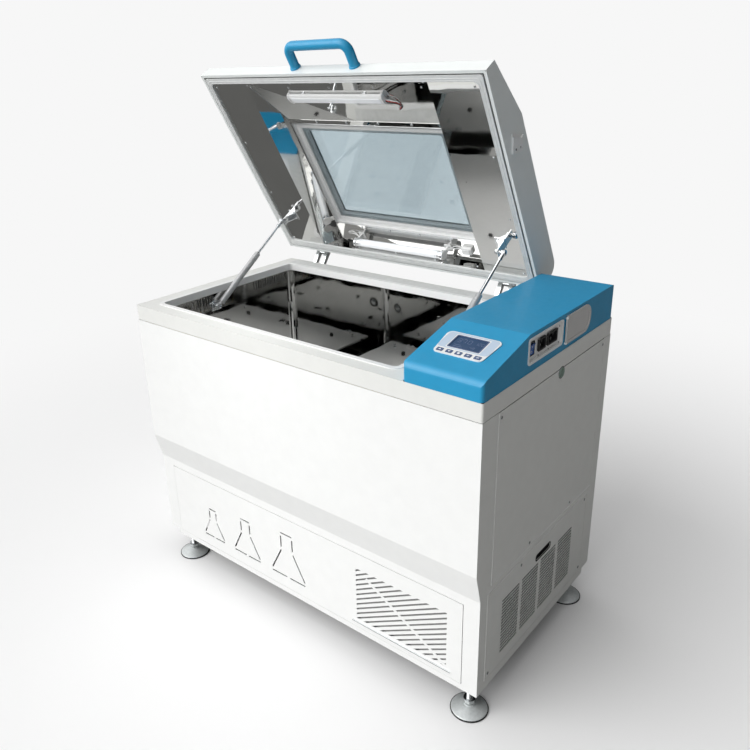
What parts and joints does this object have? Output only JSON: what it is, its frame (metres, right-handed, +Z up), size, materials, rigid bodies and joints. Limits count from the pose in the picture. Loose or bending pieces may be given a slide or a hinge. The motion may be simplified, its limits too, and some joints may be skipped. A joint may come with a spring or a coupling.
{
  "type": "incubator orbital shaker",
  "caption": "Floor-standing incubator shaker: white cabinet, hinged windowed lid on gas struts, mirror-steel chamber with an orbiting platform, blue control console and levelling feet.",
  "frame": {"origin": "on the floor, under the centre of the bounding box with the lid open 60 degrees", "axes": "+X towards the machine's right-hand side as its user sees it, where the console is; +Y from the front to the hinge side; +Z up"},
  "size_m": [1.2136, 0.7636, 1.612],
  "materials": {
    "white_paint": "satin",
    "grey_paint": "satin",
    "pale_lid_paint": "satin",
    "blue_plastic": "gloss",
    "mirror_steel": "polished",
    "tray_steel": "satin",
    "plated_steel": "satin",
    "strut_grey": "satin",
    "chrome_rod": "polished",
    "black_frame": "satin",
    "cast_grey": "matt",
    "white_plastic": "satin",
    "lamp_glass": "gloss",
    "seal_grey": "matt",
    "black_rubber": "matt",
    "black_plastic": "satin",
    "key_navy": "satin",
    "screen_blue": "gloss",
    "rocker_blue": "gloss",
    "clear_glass": "clear",
    "smoked_cover": "gloss",
    "circuit_green": "satin",
    "foam": "matt",
    "motor_blue": "satin",
    "aluminium_fins": "satin",
    "fan_plastic": "satin"
  },
  "bodies": {
    "cabinet": {"base_frame": "black_frame", "front_panel": "white_paint", "service_panel": "white_paint", "left_panel": "white_paint", "right_panel": "grey_paint", "access_cover": "grey_paint", "vent_cover": "grey_paint", "rear_panel": "white_paint", "deck": "grey_paint", "rim_collar": "white_plastic", "chamber_liner": "mirror_steel", "insulation": "foam", "console_housing": "blue_plastic", "display_bezel": "white_plastic", "lcd_screen": "screen_blue", "electronics": "circuit_green", "socket_frame": "white_plastic", "socket_inserts": "black_plastic", "panel_screws": "plated_steel", "strut_anchors": "plated_steel", "hinge_brackets": "plated_steel", "drive_plate": "plated_steel", "drive_motor": "motor_blue", "drive_belt": "black_rubber", "compressor": "black_frame", "heat_exchangers": "aluminium_fins", "blower_housing": "plated_steel"},
    "lid": {"lid_shell": "pale_lid_paint", "lid_liner": "mirror_steel", "lid_gasket": "seal_grey", "window_panes": "clear_glass", "window_frame": "white_plastic", "lid_handle": "blue_plastic", "led_batten": "white_plastic", "lamp_holders": "white_plastic", "lamp_tube": "lamp_glass", "strut_studs": "plated_steel", "hinge_leaves": "plated_steel", "lid_switch_tab": "white_plastic"},
    "tube_left": {"strut_tube_left": "strut_grey"},
    "rod_left": {"strut_rod_left": "chrome_rod"},
    "tube_right": {"strut_tube_right": "strut_grey"},
    "rod_right": {"strut_rod_right": "chrome_rod"},
    "crank": {"crank": "cast_grey"},
    "tray": {"platform": "tray_steel", "carriage": "cast_grey"},
    "idler_left": {"idler_left": "plated_steel"},
    "idler_right": {"idler_right": "plated_steel"},
    "motor_pulley": {"motor_pulley": "plated_steel"},
    "blower_wheel": {"blower_wheel": "aluminium_fins"},
    "condenser_fan": {"condenser_fan": "fan_plastic"},
    "key_1": {"key_1": "key_navy"},
    "key_2": {"key_2": "key_navy"},
    "key_3": {"key_3": "key_navy"},
    "key_4": {"key_4": "key_navy"},
    "key_5": {"key_5": "key_navy"},
    "rocker": {"rocker_switch": "rocker_blue"},
    "socket_cover": {"socket_cover": "smoked_cover"},
    "cover_latch": {"cover_latch": "plated_steel"},
    "feet": {"levelling_feet": "plated_steel"}
  },
  "joints": [
    {"name": "lid_hinge", "type": "hinge", "parent": "cabinet", "child": "lid", "pos_m": [0, 0.33722, 0.92], "axis": [-1, 0, 0], "range_deg": [-60, 0]},
    {"name": "strut_left_tilt", "type": "hinge", "parent": "cabinet", "child": "tube_left", "pos_m": [-0.53475, -0.12378, 0.83], "axis": [1, 0, 0], "range_deg": [-29.17, 0]},
    {"name": "strut_left_stroke", "type": "slide", "parent": "tube_left", "child": "rod_left", "axis": [0, 0.8149, 0.5795], "range_m": [-0.1126, 0]},
    {"name": "strut_right_tilt", "type": "hinge", "parent": "cabinet", "child": "tube_right", "pos_m": [0.31625, -0.12378, 0.83], "axis": [1, 0, 0], "range_deg": [-29.17, 0]},
    {"name": "strut_right_stroke", "type": "slide", "parent": "tube_right", "child": "rod_right", "axis": [0, 0.8149, 0.5795], "range_m": [-0.1126, 0]},
    {"name": "crank_spin", "type": "hinge", "parent": "cabinet", "child": "crank", "pos_m": [-0.10925, -0.04828, 0.37], "axis": [0, 0, 1], "continuous": true},
    {"name": "tray_pivot", "type": "hinge", "parent": "crank", "child": "tray", "pos_m": [-0.09625, -0.04828, 0.425], "axis": [0, 0, 1], "continuous": true},
    {"name": "idler_left_spin", "type": "hinge", "parent": "cabinet", "child": "idler_left", "pos_m": [-0.35925, 0.07172, 0.37], "axis": [0, 0, 1], "continuous": true},
    {"name": "idler_right_spin", "type": "hinge", "parent": "cabinet", "child": "idler_right", "pos_m": [0.14075, 0.07172, 0.37], "axis": [0, 0, 1], "continuous": true},
    {"name": "motor_spin", "type": "hinge", "parent": "cabinet", "child": "motor_pulley", "pos_m": [-0.35625, -0.04828, 0.275], "axis": [0, 0, 1], "continuous": true},
    {"name": "blower_spin", "type": "hinge", "parent": "cabinet", "child": "blower_wheel", "pos_m": [0.44325, -0.04878, 0.7], "axis": [1, 0, 0], "continuous": true},
    {"name": "condenser_fan_spin", "type": "hinge", "parent": "cabinet", "child": "condenser_fan", "pos_m": [0.35825, -0.28578, 0.208], "axis": [0, 1, 0], "continuous": true},
    {"name": "key_1_press", "type": "slide", "parent": "cabinet", "child": "key_1", "axis": [0, 0.2345, -0.9721], "range_m": [0, 0.001]},
    {"name": "key_2_press", "type": "slide", "parent": "cabinet", "child": "key_2", "axis": [0, 0.2345, -0.9721], "range_m": [0, 0.001]},
    {"name": "key_3_press", "type": "slide", "parent": "cabinet", "child": "key_3", "axis": [0, 0.2345, -0.9721], "range_m": [0, 0.001]},
    {"name": "key_4_press", "type": "slide", "parent": "cabinet", "child": "key_4", "axis": [0, 0.2345, -0.9721], "range_m": [0, 0.001]},
    {"name": "key_5_press", "type": "slide", "parent": "cabinet", "child": "key_5", "axis": [0, 0.2345, -0.9721], "range_m": [0, 0.001]},
    {"name": "rocker_tip", "type": "hinge", "parent": "cabinet", "child": "rocker", "pos_m": [0.58325, -0.16678, 0.944], "axis": [0, 1, 0], "range_deg": [-18, 0]},
    {"name": "socket_cover_swing", "type": "hinge", "parent": "cabinet", "child": "socket_cover", "pos_m": [0.59525, -0.00078, 0.94], "axis": [0, 0, -1], "range_deg": [0, 178]},
    {"name": "cover_latch_turn", "type": "hinge", "parent": "cabinet", "child": "cover_latch", "pos_m": [0.59325, -0.00578, 0.833], "axis": [1, 0, 0], "range_deg": [0, 90]},
    {"name": "feet_level", "type": "slide", "parent": "cabinet", "child": "feet", "axis": [0, 0, 1], "range_m": [-0.015, 0]}
  ],
  "couplings": [
    {"joint": "strut_left_tilt", "follows": "lid_hinge", "ratio": 0.4854},
    {"joint": "strut_right_tilt", "follows": "lid_hinge", "ratio": 0.4854},
    {"joint": "strut_left_stroke", "follows": "lid_hinge", "m_per_rad": 0.10725},
    {"joint": "strut_right_stroke", "follows": "lid_hinge", "m_per_rad": 0.10725},
    {"joint": "tray_pivot", "follows": "crank_spin", "ratio": -1},
    {"joint": "idler_left_spin", "follows": "crank_spin", "ratio": 1},
    {"joint": "idler_right_spin", "follows": "crank_spin", "ratio": 1},
    {"joint": "motor_spin", "follows": "crank_spin", "ratio": 2.5}
  ]
}
